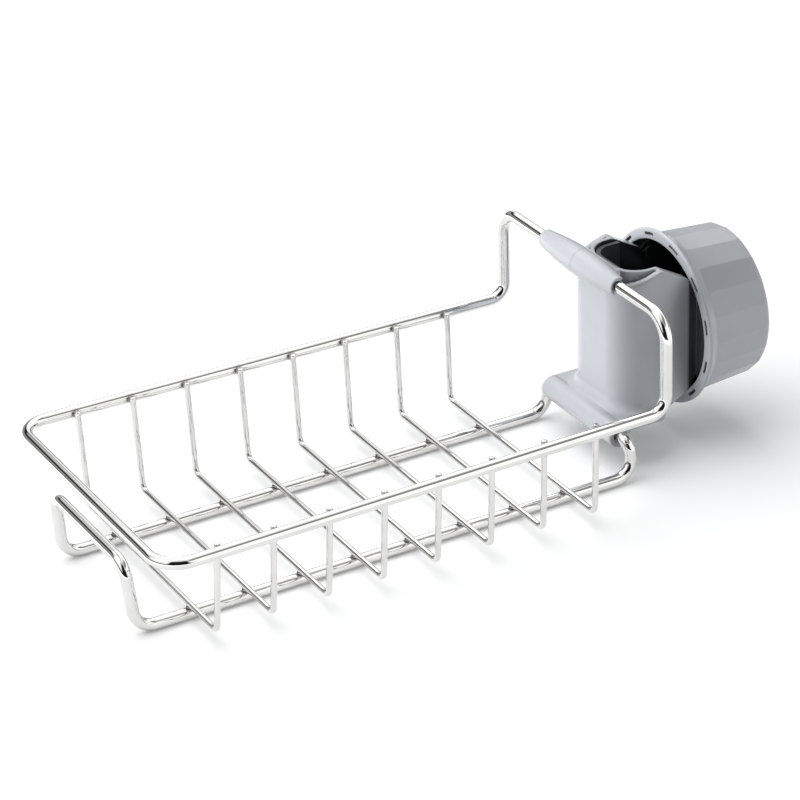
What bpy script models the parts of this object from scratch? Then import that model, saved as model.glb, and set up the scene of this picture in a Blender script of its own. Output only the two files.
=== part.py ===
"""Sink organizer rack: a wire basket that a screw clamp holds on a kitchen tap.

Lengths are in metres. The rack is drawn from the middle of its far rim bar, with X running to the
clamp, Y across the basket and Z up from the middle of the base wire. One empty then moves that
drawing so that the origin is under the middle of the whole rack, on the surface it stands on.
"""
import math

import bmesh
import bpy
from mathutils import Matrix, Vector

# Clearances and drawing steps
touch_gap = 0.0003              # air left between two pieces that touch
cut_overrun = 0.004             # how far a cutter reaches past what it cuts
weld_depth = 0.0004             # how deep one lump of a moulding starts inside the next
wire_sides = 12
cross_wire_sides = 8
bend_steps = 7
cross_bend_steps = 4
soft_angle = math.radians(32)   # edges that turn less than this are shaded smooth
flats_angle = math.radians(17)  # the same for the cap, whose flats stay crisp

# Wire stock
frame_wire = 0.0040             # diameter of the rim and base wires
cross_wire = 0.0021             # diameter of the cross wires

# Rim loop, between wire centres
rim_length = 0.1800
rim_far_width = 0.1072
rim_clamp_width = 0.1000
rim_height = 0.0347             # above the middle of the base wire
riser_height = 0.0329           # from the rim up to the bridge bar
rim_corner_radius = 0.0095
riser_bend_radius = 0.0060
bridge_bend_radius = 0.0090

# Base loop, between wire centres
base_setback = 0.0012           # far floor bend, in from the far rim bar
base_reach = 0.0025             # how much longer the base loop is than the rim
base_width = 0.0540
far_bar_width = 0.0506
far_bar_height = 0.0230
far_bar_lean = 0.0018
far_floor_radius = 0.0070
far_bar_radius = 0.0060
clamp_bar_width = 0.0512
clamp_bar_height = 0.0125
clamp_bar_lean = 0.0027
clamp_floor_radius = 0.0070
clamp_bar_radius = 0.0044

# Cross wires
cross_count = 8
cross_first = 0.0196            # first cross wire, in from the far rim bar
cross_last = 0.0246             # last cross wire, in from the bridge bar
cross_floor_width = 0.0926
cross_bend_radius = 0.0030
cross_end_rise = 0.0013         # wire ends above the middle of the rim wire

# Clamp body, a D-shaped shell in plan whose two cheeks end in threaded jaws
clamp_axis_height = 0.0400      # cap axis above the middle of the base wire
shell_setback = 0.0042          # front wall behind the middle of the bridge bar
shell_width = 0.0354
shell_height = 0.0520
shell_corner_radius = 0.0110
shell_corner_steps = 9
shell_wall = 0.0020
shoulder_setback = 0.0200       # where the cheeks start to slope down to the cap
neck_setback = 0.0304           # where they pass through the mouth of the cap
neck_height = 0.0404
jaw_setback = 0.0332            # where the threaded jaws begin
jaw_root_height = 0.0324
jaw_length = 0.0138
jaw_diameter = 0.0476
jaw_segments = 40
brow_height = 0.0030            # sloped band round the outer top edge, at the front
brow_depth = 0.0017
brow_setback = 0.0194           # where the band fades out, just before the shoulders

# Tap channel and its seat
channel_width = 0.0256
seat_setback = 0.0094           # seat face behind the middle of the bridge bar
seat_corner_radius = 0.0080
seat_corner_steps = 7
seat_wall = 0.0018
pocket_depth = 0.0240
pocket_rib = 0.0036             # web left between the two pockets, behind the sleeve
pocket_tail_setback = 0.0194    # where the narrow tail of each pocket ends
pocket_tail_width = 0.0004

# Snap sleeve over the bridge bar
sleeve_length = 0.0450
sleeve_middle_diameter = 0.0096
sleeve_end_diameter = 0.0062
sleeve_rounding = 0.0007
sleeve_stations = 14
clip_bore_clearance = 0.0006    # bore of both clips, over the wire
clip_arc_steps = 14
sleeve_tip_angle = math.radians(240)
sleeve_open_angle = math.radians(57)
sleeve_joined_angle = math.radians(0)
lip_width = 0.0366
lip_thickness = 0.0018
lip_rise = 0.0010               # top of the lip above the middle of the bridge bar
lip_depth = 0.0070
lip_clearance = 0.0007          # front of the lip behind the bridge bar

# Hook foot over the raised bar of the base loop
hook_length = 0.0430
hook_diameter = 0.0084
hook_tip_angle = math.radians(285)
hook_rounding = 0.0010
foot_thickness = 0.0031
foot_top_drop = 0.0002          # top of the foot below the crest of the hook
foot_reach = 0.0180             # back from the raised bar
foot_corner_radius = 0.0020
foot_corner_steps = 5
flare_radius = 0.0040
flare_sweep = math.radians(78)  # the flare stops just short of lying flat on the shell
flare_steps = 5
flare_corner_steps = 10

# Screw cap
cap_mouth_setback = 0.0303      # rim of the cap behind the middle of the bridge bar
cap_flats = 20
cap_length = 0.0272
cap_mouth_diameter = 0.0544
cap_flange_diameter = 0.0604
cap_flange_depth = 0.0022
cap_flange_rounding = 0.0007
cap_collar_depth = 0.0046       # where the flats start, behind the mouth
cap_skirt_wall = 0.00335        # from the bore to the corners of the flats, at the collar
cap_skirt_taper = 0.00165       # how much the skirt draws in on each side towards its end
cap_end_rounding = 0.0022
cap_end_steps = 6
cap_end_wall = 0.0022
cap_bore_clearance = 0.0008
cap_mouth_depth = 0.0037        # length of the lead-in cone
cap_segments = 72
hub_diameter = 0.0140
hub_length = 0.0185
slot_count = 12
slot_length = 0.0050
slot_height = 0.0010
slot_depth = 0.0014
slot_circle_diameter = 0.0562
slot_first_angle = math.radians(-10)

# Rubber seat pad, pressure plate and its rubber pad
seat_pad_thickness = 0.0015
seat_pad_drop = 0.0012          # ends of the pad inside the ends of the shell
seat_pad_reach = 0.0042         # length of its legs along the cheeks, past the curve of the seat
smallest_tap = 0.0170           # gap left for the tap with the cap screwed home
plate_width = 0.0244
plate_height = 0.0260
plate_thickness = 0.0030
plate_corner_radius = 0.0040
plate_corner_steps = 5
boss_diameter = 0.0150
stem_diameter = 0.0080
stem_length = 0.0120
stem_clearance = 0.0003
round_segments = 30
pressure_pad_thickness = 0.0024
pressure_pad_margin = 0.0012
pressure_pad_hollow = 0.0008    # depth of the hollow that the tap lies in
pressure_pad_steps = 9

# Places worked out from the sizes above
wire_radius = frame_wire / 2
cross_radius = cross_wire / 2
base_length = rim_length + base_reach
cross_pitch = (rim_length - cross_first - cross_last) / (cross_count - 1)
bridge_x = rim_length
bridge_height = rim_height + riser_height
clamp_bar_x = base_setback + base_length - clamp_bar_lean
shell_front = bridge_x + shell_setback
shell_back = bridge_x + jaw_setback
seat_face = bridge_x + seat_setback
cap_mouth_x = bridge_x + cap_mouth_setback
cap_end_x = cap_mouth_x + cap_length
far_bar_x = base_setback - far_bar_lean
middle_x = (cap_end_x + min(0, far_bar_x) - wire_radius) / 2
clip_bore = frame_wire + clip_bore_clearance
cap_bore = jaw_diameter + cap_bore_clearance
cap_skirt_diameter = cap_bore + 2 * cap_skirt_wall
cap_end_diameter = cap_skirt_diameter - 2 * cap_skirt_taper
stem_bore = stem_diameter + 2 * stem_clearance
plate_x = seat_face + touch_gap + seat_pad_thickness + smallest_tap


def make_material(name, colour, roughness, metallic):
    """Return a plain Principled material."""
    material = bpy.data.materials.new(name)
    material.use_nodes = True
    shader = material.node_tree.nodes["Principled BSDF"]
    shader.inputs["Base Color"].default_value = (*colour, 1.0)
    shader.inputs["Roughness"].default_value = roughness
    shader.inputs["Metallic"].default_value = metallic
    return material


def make_object(name, bm, material, parent, location=(0, 0, 0), smooth_angle=soft_angle):
    """Turn a bmesh into a linked, smoothly shaded object under the parent."""
    bmesh.ops.recalc_face_normals(bm, faces=bm.faces)
    mesh = bpy.data.meshes.new(name)
    bm.to_mesh(mesh)
    bm.free()
    mesh.shade_smooth()
    mesh.set_sharp_from_angle(angle=smooth_angle)
    mesh.materials.append(material)
    item = bpy.data.objects.new(name, mesh)
    item.location = location
    item.parent = parent
    bpy.context.scene.collection.objects.link(item)
    return item


def add_boolean(target, tool, operation):
    """Join or cut the target with a hidden tool object."""
    tool.hide_render = True
    tool.display_type = "WIRE"
    change = target.modifiers.new(tool.name, "BOOLEAN")
    change.operation = operation
    change.solver = "EXACT"
    change.object = tool


def arc(centre_x, centre_y, radius, start, end, steps):
    """Points on a circle from one angle to another, both ends included."""
    turns = [start + (end - start) * i / steps for i in range(steps + 1)]
    return [(centre_x + radius * math.cos(a), centre_y + radius * math.sin(a)) for a in turns]


def loft(rings, closed_ends=True):
    """Skin a stack of rings that have the same number of points."""
    bm = bmesh.new()
    rows = [[bm.verts.new(point) for point in ring] for ring in rings]
    count = len(rows[0])
    for low, high in zip(rows[:-1], rows[1:]):
        for i in range(count):
            j = (i + 1) % count
            bm.faces.new((low[i], low[j], high[j], high[i]))
    if closed_ends:
        bm.faces.new(rows[0][::-1])
        bm.faces.new(rows[-1])
    return bm


def upright_prism(outline, low, high):
    """Extrude a plan outline from one height to another."""
    bm = bmesh.new()
    face = bm.faces.new([bm.verts.new((x, y, low)) for x, y in outline])
    grown = bmesh.ops.extrude_face_region(bm, geom=[face])
    raised = [item for item in grown["geom"] if isinstance(item, bmesh.types.BMVert)]
    bmesh.ops.translate(bm, verts=raised, vec=Vector((0, 0, high - low)))
    return bm


def turned_about_x(profile, segments):
    """Spin a profile of (x, radius) points about the X axis; it is a ring, or ends on the axis."""
    bm = bmesh.new()
    verts = [bm.verts.new((x, 0, radius)) for x, radius in profile]
    edges = [bm.edges.new(pair) for pair in zip(verts[:-1], verts[1:])]
    if profile[0][1] > 0:
        edges.append(bm.edges.new((verts[-1], verts[0])))
    bmesh.ops.spin(bm, geom=verts + edges, cent=(0, 0, 0), axis=(1, 0, 0),
                   angle=math.tau, steps=segments, use_duplicate=False)
    bmesh.ops.remove_doubles(bm, verts=bm.verts, dist=touch_gap / 10)
    return bm


def cylinder_along(axis, radius, length, centre, segments):
    """A closed cylinder along X or Y, centred on a point."""
    bm = bmesh.new()
    quarter = Matrix.Rotation(math.pi / 2, 4, "Y" if axis == "X" else "X")
    bmesh.ops.create_cone(bm, cap_ends=True, segments=segments, radius1=radius, radius2=radius,
                          depth=length, matrix=Matrix.Translation(centre) @ quarter)
    return bm


def round_corners(corners, radii, steps):
    """Replace each inner corner of a 3D path by an arc of its own radius."""
    path = [Vector(corners[0])]
    for before, corner, after, radius in zip(corners[:-2], corners[1:-1], corners[2:], radii):
        corner = Vector(corner)
        towards = (Vector(before) - corner).normalized()
        away = (Vector(after) - corner).normalized()
        half = towards.angle(away) / 2
        centre = corner + (towards + away).normalized() * (radius / math.sin(half))
        first = corner + towards * (radius / math.tan(half)) - centre
        last = corner + away * (radius / math.tan(half)) - centre
        turn = first.angle(last)
        for i in range(steps + 1):
            share = i / steps
            spoke = first * math.sin((1 - share) * turn) + last * math.sin(share * turn)
            path.append(centre + spoke / math.sin(turn))
    path.append(Vector(corners[-1]))
    return path


def tube_rings(path, radius, sides, seed, normal):
    """Rings of a wire along a path, carried both ways from the seed point without twist.

    The flats of the wire lie at its true radius, and one of them faces along the normal at the seed.
    """
    last = len(path) - 1
    tangents = []
    for i in range(len(path)):
        step_in = (path[i] - path[i - 1]).normalized() if i else Vector()
        step_out = (path[i + 1] - path[i]).normalized() if i < last else Vector()
        tangents.append((step_in + step_out).normalized())
    normals = [None] * len(path)
    normals[seed] = (normal - tangents[seed] * normal.dot(tangents[seed])).normalized()
    for order in (range(seed + 1, last + 1), range(seed - 1, -1, -1)):
        previous = seed
        for i in order:
            turn = tangents[previous].rotation_difference(tangents[i])
            normals[i] = turn @ normals[previous]
            previous = i
    corner_radius = radius / math.cos(math.pi / sides)
    rings = []
    for i, point in enumerate(path):
        side = tangents[i].cross(normals[i])
        stretch = 1 / max(tangents[i].dot((path[i] - path[i - 1]).normalized()), 0.7) if 0 < i else 1
        bend = (path[i] - path[i - 1]).normalized() - tangents[i] if 0 < i < last else Vector()
        out = bend.normalized() if bend.length > 1e-6 else Vector()
        ring = []
        for k in range(sides):
            angle = (k + 0.5) * math.tau / sides
            spoke = (normals[i] * math.cos(angle) + side * math.sin(angle)) * corner_radius
            ring.append(point + spoke + out * spoke.dot(out) * (stretch - 1))
        rings.append(ring)
    return rings


def mirrored_loop(name, path, seed, material, parent):
    """A closed loop of frame wire whose half is drawn, with a mirror making the other half."""
    rings = tube_rings(path, wire_radius, wire_sides, seed, Vector((0, 0, 1)))
    for end in (0, -1):
        rings[end] = [Vector((point.x, 0, point.z)) for point in rings[end]]
    item = make_object(name, loft(rings, closed_ends=False), material, parent)
    mirror = item.modifiers.new("other half", "MIRROR")
    mirror.use_axis = (False, True, False)
    mirror.use_clip = True
    mirror.merge_threshold = touch_gap / 10
    return item


def make_rim_wire(material, parent):
    """Rim, two risers and the bridge bar that the clamp snaps on: one bent and welded wire."""
    far = rim_far_width / 2
    near = rim_clamp_width / 2
    corners = [(0, 0, rim_height), (0, -far, rim_height), (rim_length, -near, rim_height),
               (bridge_x, -near, bridge_height), (bridge_x, 0, bridge_height)]
    radii = (rim_corner_radius, riser_bend_radius, bridge_bend_radius)
    path = round_corners(corners, radii, bend_steps)
    return mirrored_loop("rim_wire", path, 0, material, parent)


def make_base_wire(material, parent):
    """Two floor runners that rise to a bar at each end: one bent and welded wire."""
    runner = base_width / 2
    corners = [(far_bar_x, 0, far_bar_height), (far_bar_x, -far_bar_width / 2, far_bar_height),
               (base_setback, -runner, 0), (base_setback + base_length, -runner, 0),
               (clamp_bar_x, -clamp_bar_width / 2, clamp_bar_height), (clamp_bar_x, 0, clamp_bar_height)]
    radii = (far_bar_radius, far_floor_radius, clamp_floor_radius, clamp_bar_radius)
    path = round_corners(corners, radii, bend_steps)
    runner_start = 2 * (bend_steps + 1)
    middle = (path[runner_start] + path[runner_start + 1]) / 2
    path.insert(runner_start + 1, middle)
    return mirrored_loop("base_wire", path, runner_start + 1, material, parent)


def make_cross_wire(number, material, parent):
    """One U-shaped wire that stands inside the rim and lies across the floor runners."""
    x = cross_first + number * cross_pitch
    rim_half = (rim_far_width + (rim_clamp_width - rim_far_width) * x / rim_length) / 2
    top_y = rim_half - wire_radius - cross_radius - touch_gap
    floor_y = cross_floor_width / 2
    floor_z = wire_radius + cross_radius + touch_gap
    top_z = rim_height + cross_end_rise
    lean = (top_y - floor_y) / (rim_height - floor_z)
    top_y += lean * cross_end_rise
    corners = [(x, -top_y, top_z), (x, -floor_y, floor_z), (x, floor_y, floor_z), (x, top_y, top_z)]
    path = round_corners(corners, (cross_bend_radius, cross_bend_radius), cross_bend_steps)
    rings = tube_rings(path, cross_radius, cross_wire_sides, 0, Vector((1, 0, 0)))
    return make_object(f"cross_wire_{number + 1}", loft(rings), material, parent)


def d_outline(front, back, half_width, corner_radius, steps):
    """A plan outline with two rounded front corners and a square back."""
    middle_y = half_width - corner_radius
    middle = front + corner_radius
    quarter = math.pi / 2
    left = arc(middle, middle_y, corner_radius, quarter, 2 * quarter, steps)
    right = arc(middle, -middle_y, corner_radius, 2 * quarter, 3 * quarter, steps)
    return [(back, half_width)] + left + right + [(back, -half_width)]


def clip_rings(centre_x, centre_z, stations, inner_radius, steps):
    """C-shaped sections along Y: each station gives y, its outer radius, and its two end angles."""
    rings = []
    for y, outer_radius, first, last in stations:
        outer = arc(centre_x, centre_z, outer_radius, first, last, steps)
        inner = arc(centre_x, centre_z, inner_radius, last, first, steps)
        rings.append([(x, y, z) for x, z in outer + inner])
    return rings


def make_sleeve():
    """Barrel-shaped snap sleeve, open underneath, and open behind where it passes the lip."""
    half = sleeve_length / 2
    grown = sleeve_middle_diameter - sleeve_end_diameter
    stations = []
    for i in range(sleeve_stations + 1):
        share = 2 * i / sleeve_stations - 1
        radius = (sleeve_end_diameter + grown * math.cos(share * math.pi / 2)) / 2
        passed = abs(share) * half > lip_width / 2
        start = sleeve_open_angle if passed else sleeve_joined_angle
        stations.append((share * (half - sleeve_rounding), radius, start, sleeve_tip_angle))
    end_radius = sleeve_end_diameter / 2 - sleeve_rounding / 2
    stations.insert(0, (-half, end_radius, sleeve_open_angle, sleeve_tip_angle))
    stations.append((half, end_radius, sleeve_open_angle, sleeve_tip_angle))
    inner_radius = clip_bore / 2 - weld_depth
    return loft(clip_rings(bridge_x, bridge_height, stations, inner_radius, clip_arc_steps))


def make_hook():
    """Hook that closes over the raised bar of the base loop and stays open underneath."""
    half = hook_length / 2
    radius = hook_diameter / 2
    shrunk = radius - hook_rounding / 2
    stations = [(-half, shrunk, 0, hook_tip_angle), (hook_rounding - half, radius, 0, hook_tip_angle),
                (half - hook_rounding, radius, 0, hook_tip_angle), (half, shrunk, 0, hook_tip_angle)]
    inner_radius = clip_bore / 2 - weld_depth
    return loft(clip_rings(clamp_bar_x, clamp_bar_height, stations, inner_radius, clip_arc_steps))


def make_shell(low, high):
    """The D-shaped block, with a sloped brow round its outer top edge that fades out backwards."""
    half_width = shell_width / 2
    back = shell_back + weld_depth
    fade_end = bridge_x + brow_setback
    outline = d_outline(shell_front, back, half_width, shell_corner_radius, shell_corner_steps)
    outline.insert(1, (fade_end, half_width))
    outline.insert(-1, (fade_end, -half_width))
    foot, waist, top = [], [], []
    for x, y in outline:
        point = Vector((x, y))
        middle_y = math.copysign(half_width - shell_corner_radius, y)
        spoke = point - Vector((max(x, shell_front + shell_corner_radius), middle_y))
        if x > shell_front + shell_corner_radius:
            spoke.x = 0
        fade = max(1 - (x - shell_front) / (fade_end - shell_front), 0)
        inset = point - spoke.normalized() * (brow_depth * fade)
        foot.append((x, y, low))
        waist.append((x, y, high - brow_height * fade))
        top.append((inset.x, inset.y, high))
    bm = loft([foot, waist, top])
    bmesh.ops.remove_doubles(bm, verts=bm.verts, dist=touch_gap / 10)
    slopes = [face for face in bm.faces if face.calc_center_median().z > high - brow_height]
    bmesh.ops.triangulate(bm, faces=[face for face in slopes if len(face.verts) == 4])
    return bm


def make_clamp_body(material, parent):
    """The clamp moulding: shell, seat, jaws, sleeve, lip, foot and hook in one piece."""
    half_width = shell_width / 2
    half_height = shell_height / 2
    shell_low = clamp_axis_height - half_height
    shell_high = clamp_axis_height + half_height
    body = make_object("clamp_body", make_shell(shell_low, shell_high), material, parent)

    def tool(name, bm, operation):
        add_boolean(body, make_object(name, bm, material, parent), operation)

    # the cheeks slope down to the mouth of the cap, above and below its axis
    upper = [(shell_front - cut_overrun, half_height + cut_overrun),
             (bridge_x + shoulder_setback, half_height + cut_overrun),
             (bridge_x + shoulder_setback, half_height),
             (bridge_x + neck_setback, neck_height / 2),
             (bridge_x + jaw_setback, jaw_root_height / 2),
             (shell_back + cut_overrun, jaw_root_height / 2)]
    side = upper + [(x, -z) for x, z in reversed(upper)]
    rings = [[(x, y, clamp_axis_height + z) for x, z in side]
             for y in (-half_width - cut_overrun, half_width + cut_overrun)]
    tool("cheek_profile", loft(rings), "INTERSECT")

    jaw_centre = Vector((shell_back + jaw_length / 2, 0, clamp_axis_height))
    tool("jaw_drum", cylinder_along("X", jaw_diameter / 2, jaw_length, jaw_centre, jaw_segments), "UNION")

    # foot plate, with the flare that joins it to the shell
    foot_top = clamp_bar_height + hook_diameter / 2 - foot_top_drop
    half_foot = hook_length / 2 - weld_depth
    front = clamp_bar_x
    back = clamp_bar_x + foot_reach
    corner_x = back - foot_corner_radius
    corner_y = half_foot - foot_corner_radius
    quarter = math.pi / 2
    plate = [(front, half_foot), (front, -half_foot)]
    plate += arc(corner_x, -corner_y, foot_corner_radius, -quarter, 0, foot_corner_steps)
    plate += arc(corner_x, corner_y, foot_corner_radius, 0, quarter, foot_corner_steps)
    tool("foot_plate", upright_prism(plate, foot_top - foot_thickness, foot_top), "UNION")

    turns = [i * flare_sweep / flare_steps for i in range(flare_steps + 1)]
    steps = [(flare_radius, foot_top - weld_depth)]
    steps += [(flare_radius * (1 - math.sin(a)), foot_top + flare_radius * (1 - math.cos(a))) for a in turns]
    steps.append((-weld_depth, foot_top + flare_radius))
    rings = []
    for grown, height in steps:
        ring = d_outline(shell_front - grown, back - weld_depth, half_width + grown,
                         shell_corner_radius + grown, flare_corner_steps)
        rings.append([(x, y, height) for x, y in ring])
    tool("foot_flare", loft(rings), "UNION")
    tool("hook", make_hook(), "UNION")

    lip_front = bridge_x + wire_radius + lip_clearance
    lip_back = shell_front + lip_thickness
    lip_top = bridge_height + lip_rise
    half_lip = lip_width / 2
    lip = [(lip_front, half_lip), (lip_front, -half_lip), (lip_back, -half_lip), (lip_back, half_lip)]
    tool("lip", upright_prism(lip, lip_top - lip_depth, lip_top), "UNION")
    tool("sleeve", make_sleeve(), "UNION")

    # tap channel, open above, below and towards the cap
    half_channel = channel_width / 2
    channel = d_outline(seat_face, shell_back + jaw_length + cut_overrun, half_channel,
                        seat_corner_radius, seat_corner_steps)
    low = clamp_bar_height - hook_diameter - cut_overrun
    tool("tap_channel", upright_prism(channel, low, bridge_height + sleeve_middle_diameter), "DIFFERENCE")

    # the two pockets between the seat and the corners of the shell
    for sign, name in ((1, "left_pocket"), (-1, "right_pocket")):
        outer_radius = shell_corner_radius - shell_wall
        inner_radius = seat_corner_radius + seat_wall
        seat_middle = (seat_face + seat_corner_radius, half_channel - seat_corner_radius)
        shell_middle = (shell_front + shell_corner_radius, half_width - shell_corner_radius)
        edge = arc(*shell_middle, outer_radius, quarter, 2 * quarter, shell_corner_steps)
        edge += [(shell_front + shell_wall, pocket_rib / 2), (seat_face - seat_wall, pocket_rib / 2)]
        edge += arc(*seat_middle, inner_radius, 2 * quarter, quarter, seat_corner_steps)
        tail_middle = (half_channel + seat_wall + half_width - shell_wall) / 2
        tail_x = bridge_x + pocket_tail_setback
        edge += [(tail_x, tail_middle - pocket_tail_width / 2), (tail_x, tail_middle + pocket_tail_width / 2)]
        outline = [(x, sign * y) for x, y in edge]
        tool(name, upright_prism(outline, shell_high - pocket_depth, lip_top + cut_overrun), "DIFFERENCE")

    for name, x, z in (("bridge_bore", bridge_x, bridge_height), ("bar_bore", clamp_bar_x, clamp_bar_height)):
        centre = Vector((x, 0, z))
        bore = cylinder_along("Y", clip_bore / 2, sleeve_length + 2 * cut_overrun, centre, round_segments)
        tool(name, bore, "DIFFERENCE")
    return body


def make_seat_pad(material, parent):
    """Rubber lining of the curved seat."""
    half_height = shell_height / 2 - seat_pad_drop
    half_channel = channel_width / 2
    back = seat_face + seat_corner_radius + seat_pad_reach
    outside = d_outline(seat_face + touch_gap, back, half_channel - touch_gap,
                        seat_corner_radius - touch_gap, seat_corner_steps)
    depth = touch_gap + seat_pad_thickness
    inside = d_outline(seat_face + depth, back, half_channel - depth, seat_corner_radius - depth,
                       seat_corner_steps)
    outline = outside + inside[::-1]
    bm = upright_prism(outline, clamp_axis_height - half_height, clamp_axis_height + half_height)
    return make_object("seat_pad", bm, material, parent)


def make_screw_cap(material, parent):
    """The cap: a flanged mouth, a tapered skirt with flats, and a hub that turns on the stem."""
    flats = bmesh.new()
    length = cap_length - cap_collar_depth + weld_depth
    middle = Vector((cap_length - length / 2, 0, 0))
    place = Matrix.Translation(middle) @ Matrix.Rotation(math.pi / 2, 4, "Y")
    bmesh.ops.create_cone(flats, cap_ends=True, segments=cap_flats, radius1=cap_skirt_diameter / 2,
                          radius2=cap_end_diameter / 2, depth=length, matrix=place)
    rim = [edge for edge in flats.edges if all(vert.co.x > middle.x for vert in edge.verts)]
    bmesh.ops.bevel(flats, geom=rim, offset=cap_end_rounding, segments=cap_end_steps, profile=0.5,
                    affect="EDGES")
    place = (cap_mouth_x, 0, clamp_axis_height)
    cap = make_object("screw_cap", flats, material, parent, place, flats_angle)

    def tool(name, bm, operation):
        add_boolean(cap, make_object(name, bm, material, parent, place, flats_angle), operation)

    flange_radius = cap_flange_diameter / 2
    rounding = cap_flange_rounding
    skirt_radius = cap_skirt_diameter / 2
    mouth_radius = cap_mouth_diameter / 2
    bore_radius = cap_bore / 2
    flange = [(0, bore_radius - weld_depth), (0, flange_radius - rounding),
              (rounding / 3, flange_radius - rounding / 3), (rounding, flange_radius),
              (cap_flange_depth, flange_radius), (cap_flange_depth + rounding, flange_radius - rounding / 2),
              (cap_collar_depth, skirt_radius + weld_depth / 2),
              (cap_collar_depth + weld_depth / 2, bore_radius + cap_flange_depth),
              (cap_collar_depth + weld_depth, bore_radius - weld_depth)]
    tool("flange_ring", turned_about_x(flange, cap_segments), "UNION")

    floor = cap_length - cap_end_wall
    hub_mouth = floor - hub_length
    hub_radius = hub_diameter / 2
    start_radius = mouth_radius + weld_depth * (mouth_radius - bore_radius) / cap_mouth_depth
    hollow = [(-weld_depth, 0), (-weld_depth, start_radius), (cap_mouth_depth, bore_radius),
              (floor, bore_radius), (floor, hub_radius), (hub_mouth, hub_radius),
              (hub_mouth, stem_bore / 2), (hub_mouth + stem_length, stem_bore / 2),
              (hub_mouth + stem_length, 0)]
    tool("cap_hollow", turned_about_x(hollow, cap_segments), "DIFFERENCE")

    slots = bmesh.new()
    for i in range(slot_count):
        turn = slot_first_angle + i * math.tau / slot_count
        size = Matrix.Diagonal((2 * slot_depth, slot_length, slot_height, 1))
        out = Matrix.Translation((0, 0, slot_circle_diameter / 2))
        bmesh.ops.create_cube(slots, size=1, matrix=Matrix.Rotation(turn, 4, "X") @ out @ size)
    tool("rim_slots", slots, "DIFFERENCE")
    return cap


def rounded_rectangle(half_y, half_z, radius, steps):
    """Outline of the plate, seen along X."""
    quarter = math.pi / 2
    places = ((1, 1, 0), (-1, 1, 1), (-1, -1, 2), (1, -1, 3))
    points = []
    for sign_y, sign_z, turn in places:
        centre = (sign_y * (half_y - radius), sign_z * (half_z - radius))
        points += arc(*centre, radius, turn * quarter, (turn + 1) * quarter, steps)
    return points


def make_pressure_plate(material, parent):
    """Plate that slides between the cheeks, with a boss and the stem that the cap turns on."""
    outline = rounded_rectangle(plate_width / 2, plate_height / 2, plate_corner_radius, plate_corner_steps)
    front = pressure_pad_thickness + touch_gap
    back = front + plate_thickness
    rings = [[(x, y, z) for y, z in outline] for x in (front, back)]
    plate = make_object("pressure_plate", loft(rings), material, parent, (plate_x, 0, clamp_axis_height))
    hub_face = cap_mouth_x + cap_length - cap_end_wall - hub_length - plate_x
    boss_end = hub_face - touch_gap
    boss_radius = boss_diameter / 2
    stem_radius = stem_diameter / 2
    stem_end = boss_end + stem_length
    spindle = [(back - weld_depth, 0), (back - weld_depth, boss_radius), (boss_end, boss_radius),
               (boss_end, stem_radius), (stem_end - stem_clearance, stem_radius),
               (stem_end, stem_radius - stem_clearance), (stem_end, 0)]
    bm = turned_about_x(spindle, round_segments)
    add_boolean(plate, make_object("spindle", bm, material, parent, plate.location), "UNION")
    return plate


def make_pressure_pad(material, parent):
    """Rubber pad on the plate, hollowed along its height for the tap."""
    half_y = plate_width / 2 - pressure_pad_margin
    half_z = plate_height / 2 - pressure_pad_margin
    bowed = []
    for i in range(pressure_pad_steps + 1):
        share = 2 * i / pressure_pad_steps - 1
        bowed.append((pressure_pad_hollow * (1 - share * share), share * half_y))
    outline = bowed + [(pressure_pad_thickness, half_y), (pressure_pad_thickness, -half_y)]
    bm = upright_prism(outline, -half_z, half_z)
    return make_object("pressure_pad", bm, material, parent, (plate_x, 0, clamp_axis_height))


def main():
    for item in list(bpy.data.objects):
        bpy.data.objects.remove(item, do_unlink=True)
    steel = make_material("polished steel wire", (0.78, 0.78, 0.77), 0.12, 1.0)
    plastic = make_material("grey moulded plastic", (0.42, 0.43, 0.46), 0.30, 0.0)
    cap_plastic = make_material("grey cap plastic", (0.34, 0.36, 0.38), 0.32, 0.0)
    rubber = make_material("black rubber", (0.02, 0.02, 0.02), 0.80, 0.0)
    frame = bpy.data.objects.new("rack_frame", None)
    frame.location = (-middle_x, 0, wire_radius)
    bpy.context.scene.collection.objects.link(frame)
    make_rim_wire(steel, frame)
    make_base_wire(steel, frame)
    for number in range(cross_count):
        make_cross_wire(number, steel, frame)
    make_clamp_body(plastic, frame)
    make_seat_pad(rubber, frame)
    make_pressure_plate(plastic, frame)
    make_pressure_pad(rubber, frame)
    make_screw_cap(cap_plastic, frame)


main()
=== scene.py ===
# Looks for the sink organizer rack: a wire basket held by a grey screw clamp, on a white table
import math

import bpy
import numpy as np
from mathutils import Matrix, Vector


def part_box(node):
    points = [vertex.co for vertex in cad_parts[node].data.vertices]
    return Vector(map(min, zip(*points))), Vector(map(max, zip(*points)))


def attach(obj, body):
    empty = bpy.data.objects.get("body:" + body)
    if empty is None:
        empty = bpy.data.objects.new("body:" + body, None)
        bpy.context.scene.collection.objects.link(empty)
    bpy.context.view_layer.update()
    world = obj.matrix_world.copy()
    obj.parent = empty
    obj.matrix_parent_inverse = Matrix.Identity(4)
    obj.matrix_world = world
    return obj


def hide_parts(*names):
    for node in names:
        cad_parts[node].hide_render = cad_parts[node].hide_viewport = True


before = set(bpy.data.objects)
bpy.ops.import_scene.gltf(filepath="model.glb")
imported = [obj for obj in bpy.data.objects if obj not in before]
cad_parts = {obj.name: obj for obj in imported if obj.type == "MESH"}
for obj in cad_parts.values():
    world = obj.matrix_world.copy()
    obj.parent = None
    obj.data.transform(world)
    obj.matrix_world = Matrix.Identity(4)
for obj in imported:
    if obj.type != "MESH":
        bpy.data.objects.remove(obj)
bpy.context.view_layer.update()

print("frame loaded:", len(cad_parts), "nodes")

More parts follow.
